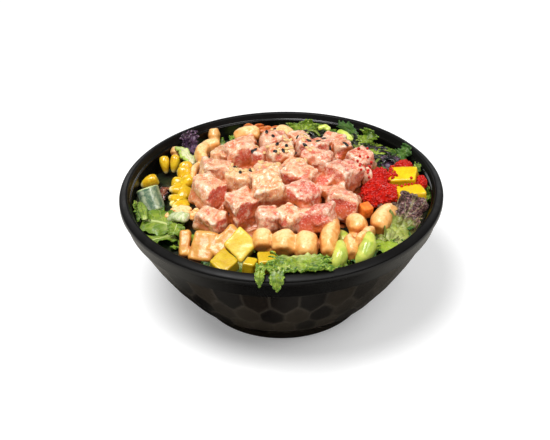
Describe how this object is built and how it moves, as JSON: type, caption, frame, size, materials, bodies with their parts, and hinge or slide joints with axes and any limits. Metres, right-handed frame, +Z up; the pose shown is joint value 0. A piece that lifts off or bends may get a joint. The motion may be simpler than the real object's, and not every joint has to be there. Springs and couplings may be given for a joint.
{
  "type": "poke bowl",
  "caption": "Poke bowl: round black takeaway bowl with a hammered wall, filled with salad, cubed tuna in creamy sauce, mango, corn, roe, edamame and seaweed.",
  "frame": {"origin": "middle of the flat underside of the bowl's foot", "axes": "+Z up along the bowl's axis; -Y towards the side shown in front, +X to its right"},
  "size_m": [0.185, 0.187, 0.0973],
  "materials": {
    "bowl_black": "black glossy thermoformed plastic",
    "tuna": "raw tuna in a creamy coat, wet",
    "sauce": "thick smooth peach-coloured sauce",
    "mango": "ripe mango, moist cut faces",
    "corn": "cooked sweet corn",
    "edamame": "cooked green soy beans",
    "cucumber": "dark green striped skin, pale flesh",
    "roe": "bright red fish roe, wet",
    "carrot": "raw carrot, moist",
    "seaweed": "dark wet seaweed strips",
    "lettuce": "green frilly lettuce",
    "pale_leaf": "pale ribs and stems",
    "red_leaf": "purple and red salad leaves",
    "pepper": "yellow-green strips of pepper",
    "salad": "mixed salad bed"
  },
  "bodies": {
    "root": {"bowl": "bowl_black", "mango_front_1": "mango", "mango_front_2": "mango", "mango_front_3": "mango", "mango_front_4": "mango", "mango_right_1": "mango", "mango_right_2": "mango", "carrot_cube": "carrot", "corn_kernel_1": "corn", "corn_kernel_2": "corn", "corn_kernel_3": "corn", "edamame_1": "edamame", "edamame_2": "edamame", "edamame_3": "edamame", "cucumber_piece": "cucumber", "sauce_front_left_1": "sauce", "sauce_front_left_2": "sauce", "sauce_front_left_3": "sauce", "sauce_front_1": "sauce", "sauce_front_2": "sauce", "sauce_front_3": "sauce", "sauce_front_4": "sauce", "sauce_right_1": "sauce", "sauce_right_2": "sauce", "sauce_right_3": "sauce", "sauce_right_4": "sauce", "sauce_left_1": "sauce", "sauce_left_2": "sauce", "sauce_wall_1": "sauce", "sauce_wall_2": "sauce", "sauce_back_1": "sauce", "sauce_back_2": "sauce", "red_onion_bit": "red_leaf", "spring_onion_piece": "pale_leaf", "green_bean_piece": "lettuce", "pepper_strip_1": "pepper", "pepper_strip_2": "pepper", "roe_heap": "roe", "roe_back": "roe", "roe_right": "roe", "lettuce_front": "lettuce", "lollo_rosso": "red_leaf", "lettuce_left": "lettuce", "red_leaf": "red_leaf", "purple_leaf": "red_leaf", "cabbage_rib": "pale_leaf", "lettuce_back": "lettuce", "lettuce_curly": "lettuce", "lettuce_side": "lettuce", "wall_leaf": "lettuce", "edge_leaf": "lettuce", "small_leaf": "lettuce", "tuna_heap": "tuna", "corn_heap": "corn", "carrot_shreds": "carrot", "seaweed_heap": "seaweed", "salad_bed": "salad"}
  },
  "joints": []
}
